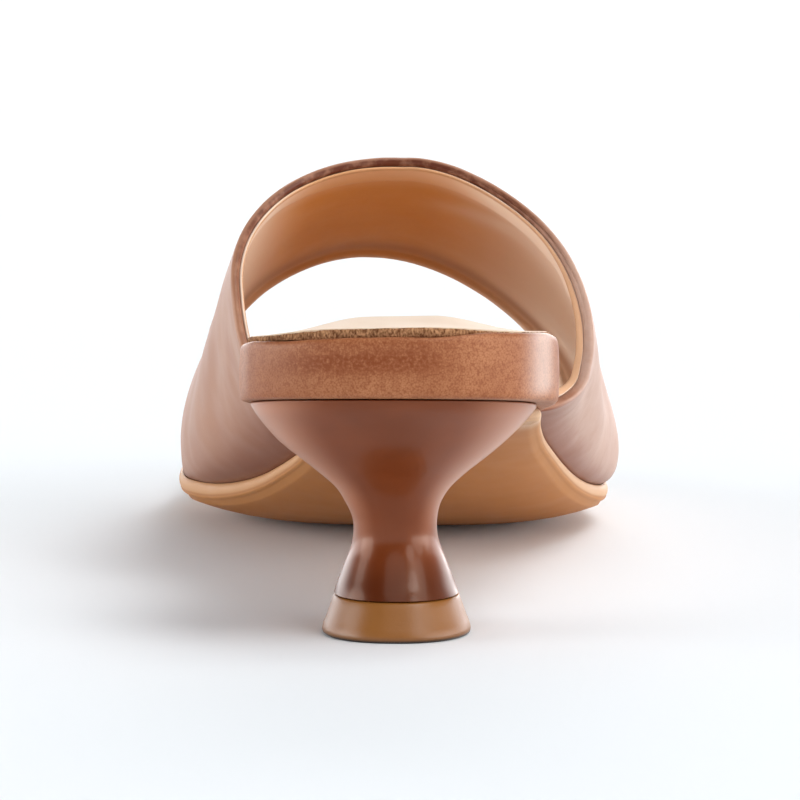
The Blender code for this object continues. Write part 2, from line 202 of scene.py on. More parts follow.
def across(x, y, width):
    """How far x lies from the middle of a section: -1 at the medial edge, 1 at the lateral one."""
    medial, lateral = width("medial", y), width("lateral", y)
    middle, half = (lateral - medial) / 2, (lateral + medial) / 2
    return np.clip((x - middle) / half, -1, 1)


def bed(x, y):
    """The last's bottom, which is the top of the sole: flat across its middle, rolled up at its edges."""
    return SOLE("edge", y) - SOLE("crown", y) * (1 - across(x, y, SOLE) ** 4)


def tread(x, y):
    """The underside of the sole, level where it meets the floor."""
    thickness = SOLE("thick", y) - RIM_THINNING * across(x, y, SOLE) ** 2
    return np.maximum(bed(x, y) - thickness, 0.0)


def board_top(x, y):
    """The board's face. Its seat leans a little towards the medial side."""
    dish = BOARD("dish", y) * (1 - across(x, y, BOARD) ** 2)
    lean = SEAT_LEAN * x * (1 - ramp(y, 30, 90))
    return SOLE("edge", y) + BOARD("rise", y) - dish + lean


def ripple(points, size, seed=0.0):
    """Smooth noise, about -1 to 1, whose bumps are size millimetres apart."""
    shift = Vector((seed, 2.7 * seed, -1.3 * seed))
    return np.array([noise.noise(Vector(point) / size + shift) for point in points])


# ---------------------------------------------------------------- outlines and rings


def plan(width, start, end, back, toe, count):
    """A closed outline in plan: from the back up the lateral side, and down the medial one.

    back and toe are the length and the power of the rounding at each end, and count the steps of a side.
    """
    share = np.linspace(0, 1, count + 1)[1:-1]
    # The points crowd towards both ends, where the outline turns.
    crowding = 0.13
    ys = start + (end - start) * (share - crowding * np.sin(2 * math.pi * share))
    hind = np.clip((start + back[0] - ys) / back[0], 0, 1)
    fore = np.clip((ys - end + toe[0]) / toe[0], 0, 1)
    closing = (1 - hind ** back[1]) ** (1 / back[1]) * (1 - fore ** toe[1]) ** (1 / toe[1])
    medial, lateral = width("medial", ys), width("lateral", ys)
    middle, half = (lateral - medial) / 2, (lateral + medial) / 2 * closing
    right = np.column_stack([middle + half, ys])
    left = np.column_stack([middle - half, ys])[::-1]
    tips = [[((width("lateral", y) - width("medial", y)) / 2, y)] for y in (start, end)]
    return np.concatenate([tips[0], right, tips[1], left])


def inset(ring, distance):
    """The outline moved inwards by a distance, which may differ from point to point."""
    along = np.roll(ring, -1, axis=0) - np.roll(ring, 1, axis=0)
    inwards = np.column_stack([-along[:, 1], along[:, 0]])
    inwards /= np.linalg.norm(inwards, axis=1)[:, None]
    return ring + np.reshape(distance, (-1, 1)) * inwards


def shrink(ring, share):
    """The outline drawn in to a share of its size about the line down its middle."""
    mirror = np.roll(ring[::-1], 1, axis=0)
    middle = (ring + mirror) / 2
    # The line stops almost half a width short of both ends.
    reach = 0.45 * (ring[:, 0].max() - ring[:, 0].min())
    low, high = ring[:, 1].min() + reach, ring[:, 1].max() - reach
    spine = np.column_stack([middle[:, 0], np.clip(ring[:, 1], low, high)])
    return spine + share * (ring - spine)


def lift(ring, height):
    """The outline in space, where height is a function of x and y."""
    return np.column_stack([ring, height(ring[:, 0], ring[:, 1])])


def raised(height, amount):
    """The same height function, an amount higher."""
    return lambda x, y: height(x, y) + amount


def field(ring, height, shares=(0.0, 0.15, 0.3, 0.45, 0.6, 0.75, 0.88)):
    """Rings that close an outline over the line down its middle, from the middle out."""
    return [lift(shrink(ring, share), height) for share in shares]


# ---------------------------------------------------------------- modelling

# Points nearer than this are merged: only a seam's two sides, and a ring drawn in to a line, are.
MERGE = 0.002


def deselect():
    bpy.ops.object.select_all(action="DESELECT")


def write_points(piece, points):
    """Puts the piece's vertices at points given in millimetres from the shoe's zero."""
    piece.data.vertices.foreach_set("co", (points * MM + ZERO).ravel())
    piece.data.update()


def grid(name, wide, deep):
    """A flat sheet of quads, and each vertex's place on it, from 0 to 1 both ways."""
    deselect()
    bpy.ops.mesh.primitive_grid_add(x_subdivisions=wide, y_subdivisions=deep, size=1)
    piece = bpy.context.object
    piece.name = piece.data.name = name
    flat = np.empty(len(piece.data.vertices) * 3)
    piece.data.vertices.foreach_get("co", flat)
    return piece, flat.reshape(-1, 3)[:, :2] + 0.5


def skin(name, rings, marks=None):
    """A sheet rolled over a stack of rings and sewn up along its seam; a ring drawn in to a line closes it.

    marks are numbers for each point of each ring, which the mesh keeps under their names for its material.
    """
    count = len(rings[0])
    piece, places = grid(name, count, len(rings) - 1)
    stack = np.array(rings)
    around = np.rint(places[:, 0] * count).astype(int) % count
    level = np.rint(places[:, 1] * (len(rings) - 1)).astype(int)
    write_points(piece, stack[level, around])
    for mark, values in (marks or {}).items():
        layer = piece.data.attributes.new(mark, "FLOAT", "POINT")
        layer.data.foreach_set("value", values[level, around].ravel())
    bpy.ops.object.mode_set(mode="EDIT")
    bpy.ops.mesh.select_all(action="SELECT")
    bpy.ops.mesh.remove_doubles(threshold=MERGE * MM)
    bpy.ops.mesh.normals_make_consistent(inside=False)
    bpy.ops.object.mode_set(mode="OBJECT")
    return piece


def finish_piece(piece, material, node=None, smooth=40.0):
    """Smooths the piece, gives it its material and fixes it to the shoe."""
    deselect()
    piece.select_set(True)
    bpy.context.view_layer.objects.active = piece
    bpy.ops.object.shade_smooth_by_angle(angle=math.radians(smooth))
    piece.data.materials.clear()
    piece.data.materials.append(material)
    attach(piece, "root")
    if node:
        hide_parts(node)


# ---------------------------------------------------------------- the band

# Soft troughs (deep > 0) and ridges (deep < 0) of the lasted leather, each along a line seen from its side.
# Four fine ones on the medial wall are wrinkles.
CREASES = (
    # side     y_from z_from  y_to   z_to   wide  deep
    ("lateral", 78.0,  44.0,  118.0, 22.0,  4.0,  0.8),
    ("lateral", 90.0,  50.0,  132.0, 24.0,  4.2,  -0.5),
    ("lateral", 102.0, 56.0,  146.0, 26.0,  4.0,  0.7),
    ("lateral", 84.0,  34.0,  104.0, 26.0,  3.0,  0.5),
    ("medial",  88.0,  46.0,  104.0, 26.0,  4.5,  0.3),
    ("medial",  104.0, 46.0,  122.0, 22.0,  4.0,  -0.25),
    ("medial",  120.0, 42.0,  134.0, 20.0,  3.5,  0.3),
    ("medial",  150.0, 40.0,  162.0, 15.0,  4.0,  0.25),
    ("medial",  98.0,  38.0,  106.0, 18.0,  0.8,  0.12),
    ("medial",  104.0, 42.0,  111.0, 17.0,  0.7,  0.14),
    ("medial",  112.0, 37.0,  117.0, 15.0,  0.8,  0.1),
    ("medial",  119.0, 35.0,  123.0, 16.0,  0.7,  0.1),
    ("lateral", 150.0, 46.0,  176.0, 20.0,  6.0,  0.3),
)


# The wall's curve below its widest point: how far it keeps its width and its slope before the feather edge.
BOWL_WIDTH, BOWL_DROP, BOWL_FOOT = 0.68, 0.6, 0.08

# How high a ridge may stand, and how far the leather lies slack between its edges.
RIDGE, SLACK = 0.5, 0.12


def bezier(a, b, c, d, t):
    return a * (1 - t) ** 3 + b * 3 * t * (1 - t) ** 2 + c * 3 * t * t * (1 - t) + d * t ** 3


def last_side(side, reach, y):
    """The last's outer face on one side, as x and z, at a place round the band; past 1 it turns in below."""
    sign = 1.0 if side == "lateral" else -1.0
    ridge_x, ridge_z = LAST("ridge_x", y), LAST("ridge_z", y)
    wide_x, wide_z = sign * LAST(side, y), LAST(side + "_z", y)
    full = LAST(side + "_full", y)
    foot_x = sign * (SOLE(side, y) - RIM_PROUD)
    foot_z = bed(foot_x, y) + BED_GAP
    t = np.clip(reach / WIDEST, 0, 1)
    wall_x = bezier(ridge_x, ridge_x + full * (wide_x - ridge_x), wide_x, wide_x, t)
    wall_z = bezier(ridge_z, ridge_z, wide_z + full * (ridge_z - wide_z), wide_z, t)
    t = np.clip((reach - WIDEST) / (1 - WIDEST), 0, 1)
    out, drop = wide_x - foot_x, wide_z - foot_z
    bowl_x = bezier(wide_x, wide_x, foot_x + BOWL_WIDTH * out, foot_x, t)
    bowl_z = bezier(wide_z, wide_z - BOWL_DROP * drop, foot_z + BOWL_FOOT * drop, foot_z, t)
    turned = np.clip((reach - 1) / MARGIN_SHARE, 0, 1) * MARGIN
    under_x = foot_x - sign * turned
    under_z = bed(under_x, y) + BED_GAP
    x = np.where(reach <= WIDEST, wall_x, np.where(reach <= 1, bowl_x, under_x))
    z = np.where(reach <= WIDEST, wall_z, np.where(reach <= 1, bowl_z, under_z))
    return x, z


def crease_depth(side, y, z):
    """How far the creases draw the leather in at points of one side."""
    depth = np.zeros_like(y)
    for crease_side, y1, z1, y2, z2, wide, deep in CREASES:
        if crease_side != side:
            continue
        along = np.array([y2 - y1, z2 - z1])
        length = np.linalg.norm(along)
        along /= length
        run = (y - y1) * along[0] + (z - z1) * along[1]
        off = (y - y1) * along[1] - (z - z1) * along[0]
        ends = ramp(run, -wide, wide) * (1 - ramp(run, length - wide, length + wide))
        depth += deep * ends * np.exp(-((off / wide) ** 2))
    return depth


def by_side(around):
    """Each side's name, and which points lie on it."""
    return ("medial", around < 0), ("lateral", around >= 0)


def band_points(around, along, depth):
    """Points of the band at a depth under its outer face.

    around is the place round the band, negative on the medial side, and along is 0 at the collar and 1 at
    the toe opening.
    """

    def face(around, along):
        reach = np.abs(around)
        at = np.minimum(reach, 1.0)
        points = np.empty((len(around), 3))
        for side, chosen in by_side(around):
            start, end = EDGES("collar_" + side, at[chosen]), EDGES("toe_" + side, at[chosen])
            y = start + (end - start) * along[chosen]
            x, z = last_side(side, reach[chosen], y)
            points[chosen] = np.column_stack([x, y, z])
        return points

    points = face(around, along)
    # Short steps both ways along the face give the way in from it.
    step = 0.004
    ahead = np.clip(around + step, -MARGIN_END, MARGIN_END)
    behind = np.clip(around - step, -MARGIN_END, MARGIN_END)
    over = face(ahead, along) - face(behind, along)
    down = face(around, along + step) - face(around, along - step)
    inwards = np.cross(down, over)
    inwards /= np.linalg.norm(inwards, axis=1)[:, None]
    sunk = np.zeros(len(points))
    for side, chosen in by_side(around):
        sunk[chosen] = crease_depth(side, points[chosen, 1], points[chosen, 2])
    # The creases fade out towards the edges, which are turned and cemented.
    quiet = ramp(along, 0.0, 0.15) * (1 - ramp(along, 0.9, 1.0)) * (1 - ramp(np.abs(around), 0.9, 1.0))
    quiet = 0.25 + 0.75 * quiet
    wander = 0.12 * ripple(points, 14.0, 3.0) + 0.05 * ripple(points, 5.0, 5.0)
    hollow = np.maximum(sunk, -RIDGE) + wander + SLACK
    return points + (depth + quiet * hollow)[:, None] * inwards


# The leather is turned in over both edges and cemented, and the lining covers the turned ends.
LEATHER, LINING = 1.15, 0.65
# How wide each turned end is, how thick the fold is at the toe edge, and how far the lining ends before the
# collar and the toe edge.
COLLAR_TURN, TOE_TURN, TOE_FOLD = 9.5, 9.0, 1.9
LINING_SHORT = (0.5, 1.9)
# A hair of cement between leather and lining.
CEMENT = 0.04
# A ply's points lie close together this far in from each edge, and are counted over the edge's rounding, from
# there to that line, between both lines, and round the band.
EDGE_RUN = 14.0
NOSE_STEPS, RIM_STEPS, MIDDLE_STEPS, ROUND_STEPS = 12, 20, 44, 280

# The collar's turned edge, by how far round the band it lies: how thick it is, and how far its fold gapes.
COLLAR_FOLD = table(
    "around thick gape",
    (-1.1, 1.7,  0.0),
    (-0.8, 1.7,  0.05),
    (-0.4, 1.75, 0.0),
    (-0.1, 1.8,  0.05),
    (0.15, 1.85, 0.2),
    (0.4,  2.0,  0.35),
    (0.55, 2.05, 0.05),
    (0.8,  2.0,  0.0),
    (1.1,  1.8,  0.0),
)


def band_length(around):
    """How long the band is from its collar to its toe edge."""
    at = np.minimum(np.abs(around), 1.0)
    medial = EDGES("toe_medial", at) - EDGES("collar_medial", at)
    lateral = EDGES("toe_lateral", at) - EDGES("collar_lateral", at)
    return np.where(around < 0, medial, lateral)


def turned_in(collar, toe):
    """1 where the turned ends of the leather lie under the lining, by the distances to both edges."""
    return (1 - ramp(collar, COLLAR_TURN - 2.5, COLLAR_TURN)) + (1 - ramp(toe, TOE_TURN - 2.0, TOE_TURN))


def leather_back(around, collar, toe):
    """The leather's inner side: doubled where it is turned in."""
    fold = np.where(collar < toe, COLLAR_FOLD("thick", around), TOE_FOLD)
    return LEATHER + (fold - LEATHER) * turned_in(collar, toe)


def lining_face(around, collar, toe):
    return leather_back(around, collar, toe) + CEMENT


def lining_back(around, collar, toe):
    """The lining's inner side: thin at its skived toe edge, with a soft welt beside the turned collar.

    Low on the lateral side its cut edge stands up as a thick round lip.
    """
    welt = (0.12 + 0.3 * ramp(around, 0.0, 0.2)) * np.exp(-(((collar - COLLAR_TURN) / 2.4) ** 2))
    skived = 0.3 + 0.7 * ramp(toe, LINING_SHORT[1], LINING_SHORT[1] + 2.6)
    lip = 0.75 * ramp(around, 0.3, 0.6) * (1 - ramp(collar, 1.2, 3.4))
    return lining_face(around, collar, toe) + LINING * skived + welt + lip


def band_ply(name, reach, short, nose, face, back, marks, gape=0.0):
    """One ply of the band, as a closed tube pressed flat.

    reach is how far round the band it goes, short how far it ends before the collar and the toe edge, nose
    how far its ends are rounded, and gape 1 where its fold gapes. face and back give the depths of its two
    sides under the band's outer face, from the place round the band and the distances to both edges. marks
    gives its marks, from all those and the depth.
    """
    rounded = nose * (1 - np.cos(np.linspace(0, math.pi / 2, NOSE_STEPS)))
    rim = np.concatenate([rounded, np.linspace(nose, EDGE_RUN, RIM_STEPS)[1:]])
    between = np.linspace(0, 1, MIDDLE_STEPS)[1:-1]
    share = np.concatenate([np.zeros(len(rim)), between, np.ones(len(rim))])
    run = np.concatenate([rim + short[0], EDGE_RUN * (1 - 2 * between), -rim[::-1] - short[1]])
    fill = np.sqrt(1 - np.clip(1 - rim / nose, 0, 1) ** 2)
    fill = np.concatenate([fill, np.ones(len(between)), fill[::-1]])
    around = np.linspace(-reach, reach, ROUND_STEPS)[:, None]
    length = band_length(around)
    along = share + run / length
    outer = face(around, along * length, (1 - along) * length)
    inner = back(around, along * length, (1 - along) * length)
    half = (inner - outer) / 2 * fill
    # Both ends of the tube are pressed shut.
    half[[0, -1]] = 0.0
    centre = (outer + inner) / 2
    depth = np.concatenate([centre - half, (centre + half)[:, -2:0:-1]], axis=1)
    along = np.concatenate([along, along[:, -2:0:-1]], axis=1)
    around = np.broadcast_to(around, along.shape)
    # The fold gapes a little where the leather meets its turned end, and neither edge is quite even.
    arc = np.column_stack([60 * around.ravel(), 0 * around.ravel(), 3 * depth.ravel()])
    uneven = (0.22 * ripple(arc, 7.0, 11.0) + 0.12 * ripple(arc, 3.0, 12.0)).reshape(around.shape)
    slit = np.exp(-(((depth - LEATHER - 0.05 - uneven) / 0.16) ** 2))
    parting = gape * COLLAR_FOLD("gape", around) * slit
    along = along + (parting + uneven * np.exp(-((along * length / 3.0) ** 2))) * (along < 0.5) / length
    points = band_points(around.ravel(), along.ravel(), depth.ravel()).reshape(*along.shape, 3)
    return skin(name, points, marks(around, along * length, (1 - along) * length, depth))


def make_band(materials):
    def leather_marks(around, collar, toe, depth):
        # The turned collar is darker, partly its own deeper dye and partly painted shade, most of all over
        # the instep, where little light falls, and again low on the lateral side. Painted shade darkens the
        # wall down by the sole, painted sheen pales the lateral wall, and painted light lightens the turned
        # toe edge.
        collared = ramp(depth, 0.25, 0.9) * (1 - ramp(collar, 6, 10))
        instep = 0.08 + 0.92 * (1 - ramp(around, 0.15, 0.5)) * (1 - 0.75 * ramp(-around, 0.25, 0.75))
        instep += 0.5 * ramp(around, 0.74, 0.9)
        toe_fold = ramp(depth, 0.2, 0.9) * (1 - ramp(toe, 4, 7))
        low = ramp(abs(around), 0.72, 1.0) * (1 - ramp(depth, 0.2, 0.5))
        painted_sheen = ramp(around, 0.25, 0.5) * (1 - ramp(around + 0.15 * ramp(depth, 0.2, 0.8), 0.78, 0.98))
        return {"turned": collared * instep, "toe_fold": toe_fold, "low": low, "painted_sheen": painted_sheen}

    def lining_marks(around, collar, toe, depth):
        inner = ramp(depth, 2.0, 2.3)
        cut = 1 - ramp(collar, LINING_SHORT[0] + 0.3, LINING_SHORT[0] + 1.0 + 2.4 * ramp(around, 0.3, 0.6))
        # Painted shade: a soft dark band where the lining bends over the turned end of the toe edge.
        line = np.exp(-(((toe - TOE_TURN - 4.0) / 5.5) ** 2)) * (0.7 + 0.3 * ramp(around, -0.1, 0.35))
        flap = (1 - ramp(collar, 2.0, COLLAR_TURN + 5.0)) * (0.6 + 0.4 * ramp(around, -0.1, 0.2))
        sides = ramp(around, 0.06, 0.36) + 0.85 * ramp(-around, 0.16, 0.38)
        ends = 0.3 * (1 - ramp(toe, 4.0, 11.0))
        # A painted highlight runs slantwise along a ridge from the collar's turn to the lateral wall.
        painted_highlight = 0.5 * np.exp(-(((collar - 24 + 30 * around) / 4.0) ** 2)) * ramp(around, 0.0, 0.25)
        # Painted light pales the lining beside the collar, along both sides, towards the toe end and on that
        # ridge.
        painted_light = np.clip(0.5 * flap + sides * (0.55 + 0.45 * ramp(toe, 8, 26)) + ends + painted_highlight, 0, 1)
        # Painted shade darkens the middle of the lining's roof, away from the collar.
        painted_roof_shade = (1 - ramp(abs(around - 0.02), 0.15, 0.45)) * (1 - flap)
        return {"cut": cut * inner, "line": line, "painted_light": painted_light, "painted_roof_shade": painted_roof_shade}

    def outer_face(around, collar, toe):
        return np.zeros_like(collar)

    outer = band_ply("upper_leather", MARGIN_END, (0.0, 0.0), 1.0, outer_face, leather_back, leather_marks,
                     gape=1.0)
    finish_piece(outer, materials["calf"], "upper")
    lining = band_ply("upper_lining", 1.0, LINING_SHORT, 0.5, lining_face, lining_back, lining_marks)
    finish_piece(lining, materials["lining"])


# ---------------------------------------------------------------- the footbed and its sock


def board_outline(count):
    return plan(BOARD, 0.0, LENGTH - RIM_PROUD, HIND_ROUNDING, TOE_ROUNDING, count)


def over_margin(x, y):
    """How far the footbed's underside steps up over the band's turned-in margin."""
    lateral = ramp(x, -8, 8)
    start = EDGES("collar_medial", 1.0) * (1 - lateral) + EDGES("collar_lateral", 1.0) * lateral
    end = EDGES("toe_medial", 1.0) * (1 - lateral) + EDGES("toe_lateral", 1.0) * lateral
    # The step is whole this near to the band's edges, and gone this far from them.
    near, far = 0.5, 4.0
    covered = ramp(y, start - far, start - near) * (1 - ramp(y, end + near, end + far))
    return (WALL + BED_GAP - SEAT_GAP) * covered


def make_footbed(materials):
    rand = board_outline(190)
    base = raised(bed, SEAT_GAP)

    def under(x, y):
        return base(x, y) + over_margin(x, y)

    # Only a strip along the edge steps up.
    rings = field(inset(rand, 12.2), base)
    rings += [lift(inset(rand, distance), under) for distance in (11.0, 6.0, 2.4, 1.0)]
    low, high = lift(rand, under), lift(rand, board_top)
    # On the lateral side of the seat the fold stands up over the sock's edge.
    lip = 0.75 * ramp(rand[:, 0], 7, 19) * (1 - ramp(rand[:, 1], 12, 40))
    # The side, from the turned-in edge below to the fold on top: share of the height, and how far in.
    side = ((0.015, 0.4), (0.045, 0.16), (0.09, 0.03), (0.16, -0.03), (0.26, -0.06), (0.36, -0.09),
            (0.47, -0.1), (0.58, -0.1), (0.68, -0.07), (0.77, -0.04), (0.85, 0.0), (0.91, 0.08), (0.95, 0.22),
            (0.98, 0.45), (0.995, 0.75))
    slack = ripple(high, 11.0, 1.0) + 0.5 * ripple(high, 4.5, 3.0)
    wave = 0.3 * ripple(high, 15.0, 8.0) + 0.14 * ripple(high, 5.0, 9.0)
    for share, distance in side:
        ring = lift(inset(rand, distance), board_top)
        ring[:, 2] = low[:, 2] + share * (high[:, 2] - low[:, 2])
        # The thin leather lies in slack waves, most of all under the fold.
        loose = slack * 0.14 * ramp(share, 0.5, 0.85) + 0.05 * ripple(ring, 4.0, 2.0)
        ring[:, :2] = inset(ring[:, :2], loose)
        ring[:, 2] += wave * ramp(share, 0.7, 0.95) + lip * ramp(share, 0.6, 0.95)
        rings.append(ring)
    # Inside its fold the board's face lies a little lower, under the sock.
    face_inset, face_drop = 6.0, 0.16
    for distance, drop in ((1.1, 0.0), (1.6, 0.1), (2.4, face_drop), (face_inset, face_drop)):
        ring = lift(inset(rand, distance), raised(board_top, -drop))
        ring[:, 2] += wave * (1 - ramp(distance, 1.4, 2.4)) + lip * (1 - ramp(distance, 1.5, 2.4))
        rings.append(ring)
    rings += field(inset(rand, face_inset), raised(board_top, -face_drop))[::-1]
    # The wrap is darker along the middle of the seat's back, and again along its fold.
    stack = np.array(rings)
    height = (stack[..., 2] - low[:, 2]) / (high - low)[:, 2]
    darker_band = (1 - ramp(abs(stack[..., 0] + 5), 8, 22)) * (1 - ramp(abs(height - 0.6), 0.06, 0.32))
    darker_band += 0.6 * (1 - ramp(abs(stack[..., 0] + 2), 12, 24)) * np.exp(-(((height - 0.9) / 0.07) ** 2))
    darker_band *= 1 - ramp(stack[..., 1], 6, 20)
    # Painted highlight: pale upright strips at its two hind corners, the lateral one wider and stronger.
    painted_highlight = np.exp(-(((stack[..., 0] - 27.0) / 2.4) ** 2))
    painted_highlight += 0.4 * np.exp(-(((stack[..., 0] + 27.6) / 1.0) ** 2))
    painted_highlight *= (1 - ramp(stack[..., 1], 16, 24)) * ramp(stack[..., 2], 44.5, 48)
    wrap = skin("footbed_wrap", rings, {"darker_band": darker_band, "painted_highlight": painted_highlight})
    finish_piece(wrap, materials["rand"], "footbed", 50.0)


def sock_thickness(x, y):
    """The sock is thickest at the middle of the seat's back edge, and skived towards its sides."""
    back = 1 - ramp(y, 6, 26)
    return SOCK * (1 + back * (0.4 - 0.85 * ramp(abs(x + 2), 8, 26)))


def sock_top(x, y):
    """The sock's face: flat over the board, swelling over the seat's pad."""
    swell = 1 - ramp(abs(across(x, y, BOARD)), 0.2, 0.85)
    pad = SEAT_PAD * swell * ramp(y, 2, 30) * (1 - ramp(y, 52, 85))
    return board_top(x, y) + SOCK_GAP + sock_thickness(x, y) + pad


def make_sock(materials):
    cut = inset(board_outline(170), SOCK_INSET)
    middle = inset(cut, 5.0)
    underside = raised(board_top, SOCK_GAP * 0.4)
    rings = field(middle, underside)
    rings += [lift(cut, underside), lift(cut, lambda x, y: underside(x, y) + sock_thickness(x, y) * 0.5)]
    for distance, drop in ((0.05, 0.3), (0.18, 0.12), (0.4, 0.03), (0.8, 0.0), (1.8, 0.0), (3.2, 0.0)):
        rings.append(lift(inset(cut, distance), raised(sock_top, -drop)))
    shares = (0.0, 0.08, 0.16, 0.24, 0.32, 0.4, 0.48, 0.56, 0.64, 0.72, 0.8, 0.87, 0.93, 1.0)
    rings += field(middle, sock_top, shares)[::-1]
    # The foam under it is a little uneven.
    for ring in rings[-len(shares) - 1:]:
        ring[:, 2] += 0.1 * ripple(ring, 16.0, 4.0)
    sock = skin("sock", rings)
    finish_piece(sock, materials["sock"], "insole", 60.0)

    # The sock's raw cut edge: a narrow ribbon of loose fibre ends, fine enough to stand apart.
    rim = inset(board_outline(1100), SOCK_INSET)
    height = sock_thickness(rim[:, 0], rim[:, 1])
    rings = []
    for share, out in ((-0.1, -0.3), (-0.05, 0.1), (0.2, 0.17), (0.4, 0.2), (0.6, 0.2), (0.8, 0.15),
                       (0.95, 0.06), (1.02, -0.2)):
        ring = lift(inset(rim, -out), underside)
        ring[:, 2] += height * share
        jitter = 0.06 * ripple(ring * [1, 1, 0.8], 0.4, 6.0) + 0.07 * ripple(ring, 1.4, 7.0)
        ring[:, :2] = inset(ring[:, :2], jitter)
        ring[:, 2] += 0.12 * ripple(ring, 0.7, 9.0) * ramp(share, 0.5, 1.0)
        rings.append(ring)
    finish_piece(skin("sock_cut_edge", rings), materials["raw_edge"], None, 60.0)


# ---------------------------------------------------------------- the sole, the heel and the top piece


def make_outsole(materials):
    rim = plan(SOLE, SOLE_START, LENGTH, BREAST_ROUNDING, TOE_ROUNDING, 180)
    border = 6.0
    middle = inset(rim, border)
    rings = field(middle, tread)
    rings += [lift(inset(rim, distance), tread) for distance in (border, 4.0, 2.6, 1.8)]
    low, high = lift(rim, tread), lift(rim, bed)
    # The edge, from the tread up: share of the thickness, and how far in. It is one soft roll, with a
    # faint crease low down.
    edge = ((0.02, 1.25), (0.06, 0.86), (0.11, 0.58), (0.17, 0.38), (0.23, 0.28), (0.28, 0.27), (0.33, 0.22),
            (0.4, 0.1), (0.48, 0.03), (0.56, 0.0), (0.64, 0.0), (0.72, 0.05), (0.8, 0.14), (0.87, 0.27),
            (0.93, 0.43), (0.97, 0.58), (1.0, 0.75))
    for share, distance in edge:
        ring = lift(inset(rim, distance), bed)
        ring[:, 2] = low[:, 2] + share * (high[:, 2] - low[:, 2])
        rings.append(ring)
    shares = np.array([share for share, distance in edge])
    start = len(rings) - len(edge)
    on_edge = slice(start, len(rings))
    rings += [lift(inset(rim, distance), bed) for distance in (1.2, 3.0, border)]
    rings += field(middle, bed)[::-1]
    # The edge is coloured three ways: duller where it rolls under, lighter on its bead, and darker in its
    # crease, which is painted shade.
    bead, roll, groove = np.zeros((3, len(rings), len(rim)))
    bead[on_edge] = ramp(shares, 0.28, 0.42)[:, None]
    roll[on_edge] = 1 - bead[on_edge]
    roll[start - 2:start] = [[0.35], [0.8]]
    groove[on_edge] = np.exp(-(((shares - 0.3) / 0.05) ** 2))[:, None]
    # Painted highlight pales its hind corners and its lateral bead.
    stack = np.array(rings)
    sole_painted_highlight = 1 - ramp(stack[..., 1], SOLE_START + 2, SOLE_START + 16)
    sole_painted_highlight = np.maximum(sole_painted_highlight, 0.5 * bead * ramp(stack[..., 0], 10, 32))
    sole = skin("sole", rings, {"bead": bead, "roll": roll, "groove": groove, "sole_painted_highlight": sole_painted_highlight})
    finish_piece(sole, materials["sole"], "outsole", 50.0)


HEEL_STEPS = 144


def heel_level(z):
    """One level of the heel: oval at its neck, and squarer in front towards the seat."""
    angle = 2 * math.pi * np.arange(HEEL_STEPS) / HEEL_STEPS
    cos, sin = np.cos(angle), np.sin(angle)
    in_front = sin > 0
    # The oval's power: 2 would be an ellipse.
    oval, squarer = 2.2, 1.8
    power = 2 / np.where(in_front, oval + squarer * HEEL("tilt", z), oval)
    reach = np.where(in_front, HEEL("front", z), HEEL("back", z))
    x = HEEL("shift", z) + HEEL("half", z) * np.sign(cos) * abs(cos) ** power
    y = HEEL_AXIS_Y + reach * np.sign(sin) * abs(sin) ** power
    lean = HEEL("tilt", z) * (SOLE("edge", y) - SOLE("edge", HEEL_AXIS_Y))
    return np.column_stack([x, y, z + lean])


def about_axis(ring, share, z=None):
    """The ring drawn in towards the heel's axis."""
    drawn = ring.copy()
    drawn[:, :2] = [0, HEEL_AXIS_Y] + share * (ring[:, :2] - [0, HEEL_AXIS_Y])
    if z is not None:
        drawn[:, 2] = z
    return drawn


def make_heel(materials):
    foot = heel_level(HEEL_FOOT)
    rings = [about_axis(foot, share, HEEL_FOOT) for share in (0.0, 0.5, 0.9, 0.975)]
    levels = np.concatenate([[HEEL_FOOT + 0.15], np.arange(HEEL_FOOT + 0.5, HEEL_SEAT - 0.6, 0.5)])
    rings += [heel_level(z) for z in levels]
    seat = heel_level(HEEL_SEAT)
    # The seat, from its softened rim inwards: share of its size, and how far under the last it lies.
    for share, drop in ((1.0, 0.4), (1.0, 0.25), (0.998, 0.13), (0.992, 0.06), (0.98, 0.05), (0.9, 0.05),
                        (0.6, 0.05), (0.3, 0.05), (0.0, 0.05)):
        ring = about_axis(seat, share)
        ring[:, 2] = bed(ring[:, 0], ring[:, 1]) - drop
        rings.append(ring)
    sideways, height = np.array(rings)[..., 0], np.array(rings)[..., 2]
    # Painted shade darkens the coat towards the foot, and painted sheen pales it where the sides of the cup
    # flare out.
    foot = 0.75 * (1 - ramp(height, 9, 17))
    painted_flank_sheen = ramp(abs(sideways) / HEEL("half", height), 0.45, 0.95) * ramp(height, 12, 30)
    block = skin("heel_block", rings, {"foot": foot, "painted_flank_sheen": painted_flank_sheen})
    finish_piece(block, materials["lacquer"], "heel", 50.0)


def make_top_piece(materials):
    foot = heel_level(HEEL_FOOT)
    rings = [about_axis(foot, share, 0.0) for share in (0.0, 0.6, 1.05, 1.12)]
    # Height, and size against the foot of the heel: a worn lower edge, a straight flare, a narrow joint.
    profile = ((0.08, 1.155), (0.3, 1.178), (0.7, 1.186), (1.3, 1.18), (2.4, 1.142), (3.6, 1.104),
               (4.8, 1.067), (6.0, 1.03), (6.85, 1.004), (7.1, 0.99))
    rings += [about_axis(foot, size, z) for z, size in profile]
    rings += [about_axis(foot, share, HEEL_FOOT - 0.12) for share in (0.96, 0.5, 0.0)]
    # Painted contact shadow darkens its lower edge.
    painted_contact_shadow = 1 - ramp(np.array(rings)[..., 2], 0.45, 0.85)
    tip = skin("tip", rings, {"painted_contact_shadow": painted_contact_shadow})
    finish_piece(tip, materials["tip"], "top_piece", 50.0)


# ---------------------------------------------------------------- materials


